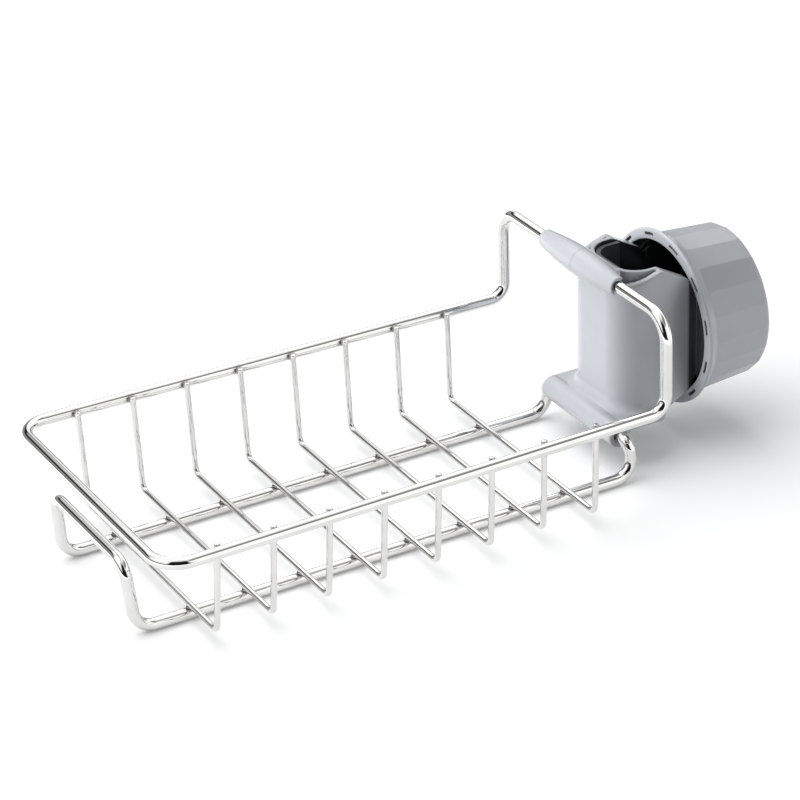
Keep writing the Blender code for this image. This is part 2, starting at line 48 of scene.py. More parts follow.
# Lengths below are in millimetres, drawn from the middle of the far rim bar, with x to the clamp and
# z up from the middle of the base wire. rackShift then carries them to their place in the model.
wireStock = {"frame": 4.0, "cross": 2.1}      # diameters
rackShift = np.array((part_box("rim_wire")[0].x * 1000 + wireStock["frame"] / 2, 0.0,
                      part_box("base_wire")[0].z * 1000 + wireStock["frame"] / 2))


def unit(vector):
    # a vector, or each row of an array, over its own length
    return vector / np.linalg.norm(vector, axis=-1, keepdims=True)


def smoothStep(low, high, value):
    # 0 up to low, 1 from high, and an even S between them
    share = np.clip((value - low) / (high - low), 0, 1)
    return share * share * (3 - 2 * share)


def between(value, rise, fall):
    # 0 outside two spans and 1 between them: it climbs over the first and drops over the second
    return smoothStep(*rise, value) * (1 - smoothStep(*fall, value))


def gridQuads(rows, columns, wrapRows=False):
    # corner numbers of the quads between neighbouring rows and columns of a grid whose rows are rings
    r = np.arange(rows if wrapRows else rows - 1)[:, None]
    c = np.arange(columns)[None, :]
    rNext, cNext = (r + 1) % rows, (c + 1) % columns
    corners = (r * columns + c, r * columns + cNext, rNext * columns + cNext, rNext * columns + c)
    return np.stack(np.broadcast_arrays(*corners), -1).reshape(-1, 4)


def turnedSides(rows, columns, flipped=False):
    # quads and end fans of a turned surface, whose points are a pole, the rows, and the other pole
    ring = 1 + np.arange(columns)
    last = (rows - 1) * columns
    faces = [gridQuads(rows, columns) + 1,
             np.stack((np.roll(ring, -1), ring, np.full(columns, 0)), -1),
             np.stack((last + ring, last + np.roll(ring, -1), np.full(columns, rows * columns + 1)), -1)]
    return [f[:, ::-1] for f in faces] if flipped else faces


def makePiece(name, points, faces, material, body, replaced, places=None, marks=None):
    # Points in drawing millimetres and a list of face arrays become one object at the origin. places are
    # where the points lie along and round a piece, and marks how strongly they are coloured, 0 to 1.
    mesh = bpy.data.meshes.new(name)
    mesh.vertices.add(len(points))
    mesh.vertices.foreach_set("co", ((points + rackShift) * 0.001).astype(np.float32).ravel())
    corners = np.concatenate([f.ravel() for f in faces])
    sizes = np.concatenate([np.full(len(f), f.shape[1]) for f in faces])
    mesh.loops.add(len(corners))
    mesh.loops.foreach_set("vertex_index", corners.astype(np.int32))
    mesh.polygons.add(len(sizes))
    mesh.polygons.foreach_set("loop_start", np.concatenate(([0], np.cumsum(sizes)[:-1])).astype(np.int32))
    mesh.update(calc_edges=True)
    for label, kind, key, values in (("surfacePlace", "FLOAT_VECTOR", "vector", places),
                                     ("mark", "FLOAT", "value", marks)):
        if values is not None:
            layer = mesh.attributes.new(label, kind, "POINT")
            layer.data.foreach_set(key, values.astype(np.float32).ravel())
    mesh.shade_smooth()
    mesh.materials.append(material)
    piece = bpy.data.objects.new(name, mesh)
    bpy.context.scene.collection.objects.link(piece)
    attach(piece, body)
    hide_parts(*replaced)
    return piece


# Node helpers

def addNode(tree, kind, inputs=None, **settings):
    # a socket given as an input is linked, and any other value is set
    node = tree.nodes.new(kind)
    for key, value in settings.items():
        setattr(node, key, value)
    for key, value in (inputs or {}).items():
        if isinstance(value, bpy.types.NodeSocket):
            tree.links.new(value, node.inputs[key])
        else:
            node.inputs[key].default_value = value
    return node


def newMaterial(name):
    material = bpy.data.materials.new(name)
    material.use_nodes = True
    material.node_tree.nodes.clear()
    return material, material.node_tree


def finishMaterial(tree, shader):
    addNode(tree, "ShaderNodeOutputMaterial", {"Surface": shader.outputs[0]})


def newGroup(name, inputs, outputs):
    group = bpy.data.node_groups.new(name, "ShaderNodeTree")
    for label, kind, value in inputs:
        socket = group.interface.new_socket(label, in_out="INPUT", socket_type=kind)
        if value is not None:
            socket.default_value = value
    for label, kind in outputs:
        group.interface.new_socket(label, in_out="OUTPUT", socket_type=kind)
    return group, group.nodes.new("NodeGroupInput"), group.nodes.new("NodeGroupOutput")


def scaledColour(group, colour, factor, result):
    # the colour times a factor goes out as the group's Colour
    tinted = addNode(group, "ShaderNodeVectorMath", {0: colour, "Scale": factor}, operation="SCALE")
    group.links.new(tinted.outputs[0], result.inputs["Colour"])


# the near-black colour (0.024, 0.026, 0.027) is painted shade for the tap channel, the jaws and the inside of
# the cap
finishes = {"steel": (0.74, 0.735, 0.725), "body": (0.285, 0.296, 0.316), "cap": (0.298, 0.314, 0.334),
            "rubber": (0.04, 0.044, 0.047), "lining": (0.024, 0.026, 0.027), "weld": (0.11, 0.105, 0.10)}
gloss = {"wire": (0.045, 0.05), "plastic": (0.24, 0.015), "rubber": (0.62, 0.08)}   # level, change
clouding = {"plastic": 0.03, "rubber": 0.20}
mouldTexture = {"cloudScale": 95.0, "cloudDetail": 3.0, "cloudRoughness": 0.55,
                "rubScale": 340.0, "rubDetail": 2.0, "rubRoughness": 0.5, "noiseSpan": (0.3, 0.7)}
wireTexture = {"stretch": (9.0, 9.0, 0.16), "streakDetail": 4.0, "streakRoughness": 0.65,
               "stainScale": 0.12, "stainDetail": 3.0, "stainSpan": (0.35, 0.7), "stainTone": 0.93,
               "weldRoughness": 0.25}


def makeMouldGroup():
    # Moulded surface, on object coordinates: colour * (1 + cloud share * broad noise), and roughness =
    # gloss level + gloss change * fine noise
    t = mouldTexture
    group, given, result = newGroup(
        "mouldedSurface",
        [("Vector", "NodeSocketVector", None), ("Colour", "NodeSocketColor", (0.5, 0.5, 0.5, 1)),
         ("Cloud", "NodeSocketFloat", 0.04), ("Gloss", "NodeSocketFloat", 0.3),
         ("Gloss Change", "NodeSocketFloat", 0.06)],
        [("Colour", "NodeSocketColor"), ("Roughness", "NodeSocketFloat")])

    def noise(kind, reach):
        # noise spread over -reach to reach
        raw = addNode(group, "ShaderNodeTexNoise", {
            "Vector": given.outputs["Vector"], "Scale": t[kind + "Scale"], "Detail": t[kind + "Detail"],
            "Roughness": t[kind + "Roughness"]})
        low, high = t["noiseSpan"]
        return addNode(group, "ShaderNodeMapRange", {
            "Value": raw.outputs["Fac"], "From Min": low, "From Max": high, "To Min": -reach,
            "To Max": reach}).outputs[0]

    tone = addNode(group, "ShaderNodeMath", {0: noise("cloud", 0.5), 1: given.outputs["Cloud"], 2: 1.0},
                   operation="MULTIPLY_ADD")
    scaledColour(group, given.outputs["Colour"], tone.outputs[0], result)
    rough = addNode(group, "ShaderNodeMath", {0: noise("rub", 1.0), 1: given.outputs["Gloss Change"],
                                              2: given.outputs["Gloss"]}, operation="MULTIPLY_ADD")
    group.links.new(rough.outputs[0], result.inputs["Roughness"])
    return group


def makeWireGroup():
    # Drawn wire: fine streaks along its length in the roughness, and broad faint stains in the tone
    t = wireTexture
    group, given, result = newGroup(
        "drawnWire",
        [("Vector", "NodeSocketVector", None), ("Colour", "NodeSocketColor", (0.8, 0.8, 0.8, 1)),
         ("Gloss", "NodeSocketFloat", 0.1), ("Streak", "NodeSocketFloat", 0.05)],
        [("Colour", "NodeSocketColor"), ("Roughness", "NodeSocketFloat")])
    stretched = addNode(group, "ShaderNodeMapping", {
        "Vector": given.outputs["Vector"], "Scale": t["stretch"]})
    streak = addNode(group, "ShaderNodeTexNoise", {
        "Vector": stretched.outputs[0], "Scale": 1.0, "Detail": t["streakDetail"],
        "Roughness": t["streakRoughness"]})
    centred = addNode(group, "ShaderNodeMath", {0: streak.outputs["Fac"], 1: 0.5}, operation="SUBTRACT")
    rough = addNode(group, "ShaderNodeMath", {0: centred.outputs[0], 1: given.outputs["Streak"],
                                              2: given.outputs["Gloss"]}, operation="MULTIPLY_ADD")
    group.links.new(rough.outputs[0], result.inputs["Roughness"])
    stain = addNode(group, "ShaderNodeTexNoise", {
        "Vector": given.outputs["Vector"], "Scale": t["stainScale"], "Detail": t["stainDetail"]})
    low, high = t["stainSpan"]
    stainTone = addNode(group, "ShaderNodeMapRange", {
        "Value": stain.outputs["Fac"], "From Min": low, "From Max": high, "To Min": 1.0,
        "To Max": t["stainTone"]})
    scaledColour(group, given.outputs["Colour"], stainTone.outputs[0], result)
    return group


mouldGroup = makeMouldGroup()
wireGroup = makeWireGroup()


def markedTone(tree, tone, markColour):
    # the tone turns to the mark's colour where the piece is marked: weld tint on the wires, and painted shade
    # on the moulded plastics
    mark = addNode(tree, "ShaderNodeAttribute", attribute_name="mark").outputs["Fac"]
    mixed = addNode(tree, "ShaderNodeMixRGB", {"Fac": mark, "Color1": tone, "Color2": (*markColour, 1)})
    return mark, mixed.outputs["Color"]


def mouldedPlastic(name, colour, cloudShare, glossLevel, glossChange, markColour=None):
    material, tree = newMaterial(name)
    place = addNode(tree, "ShaderNodeTexCoord").outputs["Object"]
    surface = addNode(tree, "ShaderNodeGroup", {
        "Vector": place, "Colour": (*colour, 1), "Cloud": cloudShare, "Gloss": glossLevel,
        "Gloss Change": glossChange}, node_tree=mouldGroup)
    tone = surface.outputs["Colour"]
    if markColour:
        tone = markedTone(tree, tone, markColour)[1]
    finishMaterial(tree, addNode(tree, "ShaderNodeBsdfPrincipled", {
        "Base Color": tone, "Roughness": surface.outputs["Roughness"], "IOR": 1.5}))
    return material


def polishedSteel(name, colour, glossLevel, streakChange):
    material, tree = newMaterial(name)
    place = addNode(tree, "ShaderNodeAttribute", attribute_name="surfacePlace").outputs["Vector"]
    surface = addNode(tree, "ShaderNodeGroup", {
        "Vector": place, "Colour": (*colour, 1), "Gloss": glossLevel, "Streak": streakChange},
        node_tree=wireGroup)
    mark, tone = markedTone(tree, surface.outputs["Colour"], finishes["weld"])
    dull = addNode(tree, "ShaderNodeMath", {0: mark, 1: wireTexture["weldRoughness"],
                                            2: surface.outputs["Roughness"]}, operation="MULTIPLY_ADD")
    finishMaterial(tree, addNode(tree, "ShaderNodeBsdfPrincipled", {
        "Base Color": tone, "Metallic": 1.0, "Roughness": dull.outputs[0]}))
    return material


wireSteel = polishedSteel("polishedWireSteel", finishes["steel"], *gloss["wire"])
# the two moulded plastics turn to that near-black painted shade where their mark is set
bodyPlastic = mouldedPlastic("greyBodyPlastic", finishes["body"], clouding["plastic"], *gloss["plastic"],
                             finishes["lining"])
capPlastic = mouldedPlastic("greyCapPlastic", finishes["cap"], clouding["plastic"], *gloss["plastic"],
                            finishes["lining"])
softRubber = mouldedPlastic("blackRubber", finishes["rubber"], clouding["rubber"], *gloss["rubber"])
print("materials made")

# Wires

rimShape = {"length": 180.0, "farWidth": 107.2, "clampWidth": 100.0, "height": 34.7, "riser": 32.9,
            "cornerRadius": 9.5, "riserRadius": 6.0, "bridgeRadius": 9.0, "sides": 28, "arcSteps": 16,
            "spacing": 1.0}
baseShape = {"setback": 1.2, "length": 182.5, "width": 54.0, "farBarWidth": 50.6, "farBarHeight": 23.0,
             "farBarLean": 1.8, "farFloorRadius": 7.0, "farBarRadius": 6.0, "clampBarWidth": 51.2,
             "clampBarHeight": 12.5, "clampBarLean": 2.7, "clampFloorRadius": 7.0, "clampBarRadius": 4.4,
             "sides": 28, "arcSteps": 14, "spacing": 1.0}
crossShape = {"count": 8, "first": 19.6, "pitch": 19.4, "floorWidth": 92.6, "bendRadius": 3.0,
              "endRise": 1.3, "gap": 0.3, "endRounding": 0.45, "sides": 20, "arcSteps": 10, "spacing": 1.5}
weldShape = {"rimBead": (1.10, 0.70, 1.40), "floorBead": (1.15, 1.35, 0.45), "rows": 9, "columns": 14,
             "reach": 80, "tint": 0.75, "tintSpan": (0.9, 2.3)}      # reach in degrees of latitude


def filletedPath(corners, radii, closed, arcSteps):
    # Straight lines whose corners become arcs. A point of the arc is its centre plus
    # (first spoke * sin((1 - s) turn) + last spoke * sin(s turn)) / sin(turn), with s from 0 to 1.
    corners = np.array(corners, float)
    share = np.linspace(0, 1, arcSteps + 1)[:, None]
    parts = [] if closed else [corners[:1]]
    inner = range(len(corners)) if closed else range(1, len(corners) - 1)
    for i, radius in zip(inner, radii):
        towards = unit(corners[i - 1] - corners[i])
        away = unit(corners[(i + 1) % len(corners)] - corners[i])
        half = math.acos(towards @ away) / 2
        centre = corners[i] + unit(towards + away) * radius / math.sin(half)
        first = corners[i] + towards * radius / math.tan(half) - centre
        last = corners[i] + away * radius / math.tan(half) - centre
        turn = math.pi - 2 * half
        arc = (first * np.sin((1 - share) * turn) + last * np.sin(share * turn)) / math.sin(turn)
        parts.append(centre + arc)
    if not closed:
        parts.append(corners[-1:])
    return np.concatenate(parts)


def fineStraights(path, longest):
    # points added along the straights, so that marks on them have points to sit on
    steps = np.maximum(np.ceil(np.linalg.norm(np.diff(path, axis=0), axis=-1) / longest).astype(int), 1)
    spot = np.concatenate([i + np.arange(n) / n for i, n in enumerate(steps)] + [[len(path) - 1]])
    return np.stack([np.interp(spot, np.arange(len(path)), path[:, k]) for k in range(3)], -1)


def sweptWire(path, radius, sides, closed, endRounding=0.0):
    # Ring point = path point + r (u cos a + v sin a). u and v stand square to the path and are carried
    # along it without twist. An open wire ends in rings that shrink on a quarter circle, and a pole.
    after = np.roll(path, -1, 0) - path
    before = path - np.roll(path, 1, 0)
    if not closed:
        after[-1], before[0] = before[-1], after[0]
    tangent = unit(unit(after) + unit(before))
    # at a kink the ring is stretched outwards, so that the wire keeps its thickness
    stretch = 1 / np.clip(np.sum(tangent * unit(after), -1, keepdims=True), 0.7, 1)
    bend = unit(after) - unit(before)
    bendLength = np.linalg.norm(bend, axis=-1, keepdims=True)
    out = np.where(bendLength > 1e-6, bend / np.maximum(bendLength, 1e-9), 0)
    start = np.array((0.0, 0.0, 1.0)) if abs(tangent[0, 2]) < 0.9 else np.array((1.0, 0.0, 0.0))
    u = np.zeros_like(path)
    u[0] = unit(start - tangent[0] * (start @ tangent[0]))
    for i in range(1, len(path)):
        u[i] = unit(u[i - 1] - tangent[i] * (u[i - 1] @ tangent[i]))
    v = np.cross(tangent, u)
    angle = np.linspace(0, math.tau, sides, endpoint=False)[None, :, None]
    spokes = (u[:, None] * np.cos(angle) + v[:, None] * np.sin(angle)) * radius
    outwards = np.sum(spokes * out[:, None], -1, keepdims=True)
    spokes = spokes + out[:, None] * outwards * (stretch[:, None] - 1)
    rings = path[:, None] + spokes
    along = np.concatenate(([0], np.cumsum(np.linalg.norm(np.diff(path, axis=0), axis=-1))))
    if not closed:
        quarter = np.linspace(0, math.pi / 2, 5)
        grown = (radius - endRounding * (1 - np.cos(quarter))) / radius
        lift = endRounding * (np.sin(quarter) - 1)
        front = [path[0] - tangent[0] * l + (rings[0] - path[0]) * g for g, l in zip(grown[::-1], lift[::-1])]
        back = [path[-1] + tangent[-1] * l + (rings[-1] - path[-1]) * g for g, l in zip(grown, lift)]
        rings = np.concatenate((front, rings[1:-1], back))
        along = np.concatenate((-lift[::-1], along[1:-1], along[-1] + lift))
    places = np.stack(np.broadcast_arrays(np.cos(angle[..., 0]) * radius, np.sin(angle[..., 0]) * radius,
                                          along[:, None]), -1).reshape(-1, 3)
    points = rings.reshape(-1, 3)
    faces = [gridQuads(len(rings), sides, wrapRows=closed)]
    if not closed:
        ring = np.arange(sides)
        last = (len(rings) - 1) * sides
        points = np.concatenate((points, path[:1], path[-1:]))
        places = np.concatenate((places, places[:1], places[-1:]))
        faces.append(np.stack((np.roll(ring, -1), ring, np.full(sides, len(points) - 2)), -1))
        faces.append(np.stack((last + ring, last + np.roll(ring, -1), np.full(sides, len(points) - 1)), -1))
    return points, faces, places


def crossPlaces(number):
    # where a cross wire runs: its x, the rim's half width there, its own half widths at the rim's height
    # and at the floor, and its height over the runners
    s = crossShape
    x = s["first"] + number * s["pitch"]
    far, near = rimShape["farWidth"], rimShape["clampWidth"]
    rimHalf = (far + (near - far) * x / rimShape["length"]) / 2
    apart = (wireStock["frame"] + wireStock["cross"]) / 2 + s["gap"]
    return x, rimHalf, rimHalf - apart, s["floorWidth"] / 2, apart


def weldPlaces():
    # where the cross wires are welded: inside the rim, and on top of the floor runners
    x, rimHalf = crossPlaces(np.arange(crossShape["count"]))[:2]
    reach = wireStock["frame"] / 2 + crossShape["gap"] / 2
    rim = np.stack((x, rimHalf - reach, np.full(len(x), rimShape["height"])), -1)
    floor = np.stack((x, np.full(len(x), baseShape["width"] / 2), np.full(len(x), reach)), -1)
    return np.stack((rim, floor), 1)


def weldMarks(points):
    # heat tint that fades with the distance from the nearest weld
    welds = weldPlaces().reshape(-1, 3)
    mirrored = np.abs(points) * (0, 1, 0) + points * (1, 0, 1)
    apart = np.min(np.linalg.norm(mirrored[:, None] - welds[None], axis=-1), axis=1)
    return weldShape["tint"] * (1 - smoothStep(*weldShape["tintSpan"], apart))


def weldBead(centre, size):
    # a drop of weld metal: centre + size (cos e cos a, cos e sin a, sin e)
    s = weldShape
    lift = np.radians(np.linspace(-s["reach"], s["reach"], s["rows"]))[:, None]
    around = np.linspace(0, math.tau, s["columns"], endpoint=False)[None, :]
    shape = np.stack(np.broadcast_arrays(np.cos(lift) * np.cos(around), np.cos(lift) * np.sin(around),
                                         np.sin(lift)), -1).reshape(-1, 3)
    shape = np.concatenate((((0, 0, -1),), shape, ((0, 0, 1),)))
    return centre + shape * size, turnedSides(s["rows"], s["columns"], flipped=True)


def makeFrameWire(name, node, right, radii, shape):
    # a closed loop of frame wire, given by the corners of its right half and mirrored across y = 0
    left = [(x, -y, z) for x, y, z in right[::-1]]
    path = filletedPath(right + left, radii + radii[::-1], True, shape["arcSteps"])
    path = fineStraights(np.concatenate((path, path[:1])), shape["spacing"])[:-1]
    points, faces, places = sweptWire(path, wireStock["frame"] / 2, shape["sides"], True)
    makePiece(name, points, faces, wireSteel, "rack", [node], places, weldMarks(points))


def makeRim():
    s = rimShape
    far, near, low, high = s["farWidth"] / 2, s["clampWidth"] / 2, s["height"], s["height"] + s["riser"]
    right = [(s["length"], -near, high), (s["length"], -near, low), (0, -far, low)]
    makeFrameWire("steelRim", "rim_wire", right, [s["bridgeRadius"], s["riserRadius"], s["cornerRadius"]], s)


def makeBase():
    s = baseShape
    far, end, half = s["setback"], s["setback"] + s["length"], s["width"] / 2
    right = [(end - s["clampBarLean"], -s["clampBarWidth"] / 2, s["clampBarHeight"]),
             (end, -half, 0), (far, -half, 0),
             (far - s["farBarLean"], -s["farBarWidth"] / 2, s["farBarHeight"])]
    radii = [s["clampBarRadius"], s["clampFloorRadius"], s["farFloorRadius"], s["farBarRadius"]]
    makeFrameWire("steelBase", "base_wire", right, radii, s)


def makeCrossWire(number):
    s = crossShape
    x, _, topY, floorY, floorZ = crossPlaces(number)
    topZ = rimShape["height"] + s["endRise"]
    topY += (topY - floorY) / (rimShape["height"] - floorZ) * s["endRise"]
    corners = [(x, -topY, topZ), (x, -floorY, floorZ), (x, floorY, floorZ), (x, topY, topZ)]
    path = fineStraights(filletedPath(corners, [s["bendRadius"]] * 2, False, s["arcSteps"]), s["spacing"])
    points, faces, places = sweptWire(path, wireStock["cross"] / 2, s["sides"], False, s["endRounding"])
    rimWeld, floorWeld = weldPlaces()[number]
    for side in (-1, 1):
        for weld, size in ((rimWeld, weldShape["rimBead"]), (floorWeld, weldShape["floorBead"])):
            drop, dropFaces = weldBead(weld * (1, side, 1), np.array(size))
            faces += [f + len(points) for f in dropFaces]
            points = np.concatenate((points, drop))
            places = np.concatenate((places, drop))
    places = places + np.array((0, 0, 300.0 * number))      # each wire gets its own stretch of the streaks
    makePiece(f"steelCross{number + 1}", points, faces, wireSteel, "rack",
              [f"cross_wire_{number + 1}"], places, weldMarks(points))


makeRim()
makeBase()
for number in range(crossShape["count"]):
    makeCrossWire(number)
print("wires made")

# Clamp moulding

clampShape = {"bridgeX": 180.0, "bridgeZ": 67.6, "barX": 181.0, "barZ": 12.5, "axisZ": 40.0, "bore": 2.3,
              "front": 184.2, "halfWidth": 17.7, "halfHeight": 26.0, "cornerRadius": 11.0, "wall": 2.4,
              "shoulderX": 200.0, "neckX": 210.4, "neckHalf": 20.2, "jawX": 213.2, "jawRoot": 16.2,
              "jawEnd": 227.0, "jawOverlap": 0.3, "threadCrest": 23.8, "threadRoot": 23.0, "threadPitch": 4.0,
              "threadFlank": (0.25, 0.7), "browHeight": 4.6, "browDepth": 0.6, "browEnd": 199.4,
              "seatX": 189.4, "seatHalf": 12.8, "seatRadius": 8.0, "seatWall": 1.8, "pocketFloor": 42.0,
              "pocketRib": 1.8, "pocketEnd": 198.9, "lipFront": 182.7, "lipBack": 186.0, "lipHalf": 14.0,
              "lipLow": 61.6, "lipTop": 68.6, "lipFillet": 0.9, "sleeveHalf": 22.5, "sleeveMiddle": 4.8,
              "sleeveEnd": 3.1, "sleeveTip": 240.0, "sleeveOpen": 57.0, "sleeveDrop": 2.0, "hookHalf": 21.5,
              "hookRadius": 4.2, "hookTip": 285.0, "footTop": 16.5, "footThickness": 3.1, "footEnd": 199.0,
              "footCorner": 2.0, "flare": 4.0, "edge": 0.45}
# the grid that the moulding is meshed on
clampNet = {"cell": 0.58, "x": (175.0, 228.2), "z": (7.3, 73.6), "margin": 2.3, "normalReach": 0.12}
# how black the moulding is coloured, with painted shade in the tap channel and on the jaws behind the neck,
# and a faint mould seam: levels from 0 to 1, and spans in millimetres
clampMarks = {"lining": (0.10, 0.35), "frontLevel": 0.86, "frontSpan": (190, 196), "jawLevel": 0.95,
              "jawSpan": (-0.9, 0.1), "seamY": -0.4, "seamLevel": 0.2, "seam": (0.2, 0.55)}


def softMax(a, b, k):
    # the larger of two distances, with the crease between them rounded over a width k
    return np.maximum(a, b) + np.maximum(k - np.abs(a - b), 0) ** 2 / (4 * k)


def filletUnion(a, b, radius):
    # two solids joined with a fillet of this radius
    corner = np.sqrt(np.maximum(radius - a, 0) ** 2 + np.maximum(radius - b, 0) ** 2)
    return np.maximum(radius, np.minimum(a, b)) - corner


def plateDistance(x, y, front, half, corner):
    # distance to a plan outline with two rounded front corners, open to the back
    u, v = front + corner - x, np.abs(y) - (half - corner)
    return np.hypot(np.maximum(u, 0), np.maximum(v, 0)) + np.minimum(np.maximum(u, v), 0) - corner


def openBelow(u, w, tip):
    # minus where a grip round a bar is kept: above the bar's middle, and down its front to the tip, whose
    # angle is counted in degrees from the back and over the top
    tip = math.radians(tip)
    return np.minimum(-w, math.cos(tip) * w - math.sin(tip) * u)


def seatDistance(x, y):
    return plateDistance(x, y, clampShape["seatX"], clampShape["seatHalf"], clampShape["seatRadius"])


def shellDistance(x, z, outer, seat):
    # The housing: its plan outline, cut at the top and bottom by a flat, a slope to the neck and one to the
    # jaws. Round the seat's wall the outer wall falls away towards the front, with a sloping edge.
    s, k = clampShape, clampShape["edge"]
    lift = np.abs(z - s["axisZ"])
    slope = np.array((s["halfHeight"] - s["neckHalf"], s["neckX"] - s["shoulderX"]))
    slope = slope / np.hypot(*slope)
    neck = np.array((s["neckHalf"] - s["jawRoot"], s["jawX"] - s["neckX"]))
    neck = neck / np.hypot(*neck)
    top = softMax(lift - s["halfHeight"],
                  (x - s["shoulderX"]) * slope[0] + (lift - s["halfHeight"]) * slope[1], k)
    top = np.maximum(top, (x - s["neckX"]) * neck[0] + (lift - s["neckHalf"]) * neck[1])
    shell = np.maximum(softMax(outer, top, k), x - s["jawX"] - s["jawOverlap"])
    fade = np.clip(1 - (x - s["front"]) / (s["browEnd"] - s["front"]), 0, 1)
    fallen = z - s["axisZ"] - s["halfHeight"] + s["browHeight"] * fade
    edge = (fallen + outer + s["browDepth"] * smoothStep(0, 0.5, fade)) / math.sqrt(2)
    return softMax(shell, np.minimum(softMax(fallen, edge, k), seat - s["seatWall"]), k)


def jawDistance(x, y, z):
    # a drum whose radius swings between the thread's root and crest, one pitch along x for each turn
    s = clampShape
    spin = np.arctan2(z - s["axisZ"], y) / math.tau
    wave = 0.5 + 0.5 * np.cos(math.tau * (x / s["threadPitch"] + spin))
    thread = s["threadRoot"] + (s["threadCrest"] - s["threadRoot"]) * smoothStep(*s["threadFlank"], wave)
    drum = np.hypot(y, z - s["axisZ"]) - thread
    return softMax(drum, np.maximum(s["jawX"] - x, x - s["jawEnd"]), s["edge"])


def footDistance(x, y, z):
    # a flat foot, and in front of it a hook over the base wire's raised bar
    s, k = clampShape, clampShape["edge"]
    plate = plateDistance(-x, y, -s["footEnd"], s["hookHalf"], s["footCorner"])
    plate = softMax(plate, np.maximum(z - s["footTop"], s["footTop"] - s["footThickness"] - z), k)
    plate = np.maximum(plate, s["barX"] - x)
    u, w = x - s["barX"], z - s["barZ"]
    hook = np.maximum(np.hypot(u, w) - s["hookRadius"], openBelow(u, w, s["hookTip"]))
    return np.minimum(plate, softMax(hook, np.abs(y) - s["hookHalf"], 2 * k))


def sleeveDistance(x, y, z):
    # the lip behind the bridge bar, and the barrel-shaped sleeve that snaps over it: its radius follows a
    # cosine along y, and it is open below, and behind beside the lip
    s, k = clampShape, clampShape["edge"]
    side = np.abs(y)
    lip = softMax(side - s["lipHalf"], np.maximum(z - s["lipTop"], s["lipLow"] - z), k)
    lip = softMax(np.maximum(s["lipFront"] - x, x - s["lipBack"]), lip, k)
    u, w = x - s["bridgeX"], z - s["bridgeZ"]
    swell = np.cos(np.clip(side / s["sleeveHalf"], 0, 1) * math.pi / 2)
    barrel = s["sleeveEnd"] + (s["sleeveMiddle"] - s["sleeveEnd"]) * swell
    lid = math.radians(s["sleeveOpen"])
    behind = np.minimum(math.sin(lid) * u - math.cos(lid) * w, side - s["lipHalf"])
    behind = np.minimum(behind, w + s["sleeveDrop"])
    sleeve = softMax(np.hypot(u, w) - barrel, side - s["sleeveHalf"], 2 * k)
    sleeve = np.maximum(sleeve, np.maximum(openBelow(u, w, s["sleeveTip"]), behind))
    return np.minimum(lip, sleeve)


def clampDistance(points):
    # Signed distance to the moulding, minus inside: solids are joined by minima, with fillets at the foot
    # and the sleeve, and the tap channel, the pockets and the two wire bores are taken away by maxima.
    s, k = clampShape, clampShape["edge"]
    x, y, z = points[..., 0], points[..., 1], points[..., 2]
    outer = plateDistance(x, y, s["front"], s["halfWidth"], s["cornerRadius"])
    seat = seatDistance(x, y)
    body = filletUnion(shellDistance(x, z, outer, seat), footDistance(x, y, z), s["flare"])
    body = np.minimum(body, jawDistance(x, y, z))
    body = filletUnion(body, sleeveDistance(x, y, z), s["lipFillet"])
    body = softMax(body, -seat, k)
    pocket = np.maximum.reduce((outer + s["wall"], s["seatWall"] - seat, s["pocketRib"] - np.abs(y),
                                x - s["pocketEnd"], s["pocketFloor"] - z))
    body = softMax(body, -pocket, k)
    bridgeBore = np.hypot(x - s["bridgeX"], z - s["bridgeZ"]) - s["bore"]
    barBore = np.hypot(x - s["barX"], z - s["barZ"]) - s["bore"]
    return np.maximum(body, -np.minimum(bridgeBore, barBore))


def gradient(distance, points, step=0.02):
    offsets = np.eye(3) * step
    return np.stack([distance(points + o) - distance(points - o) for o in offsets], -1) / (2 * step)


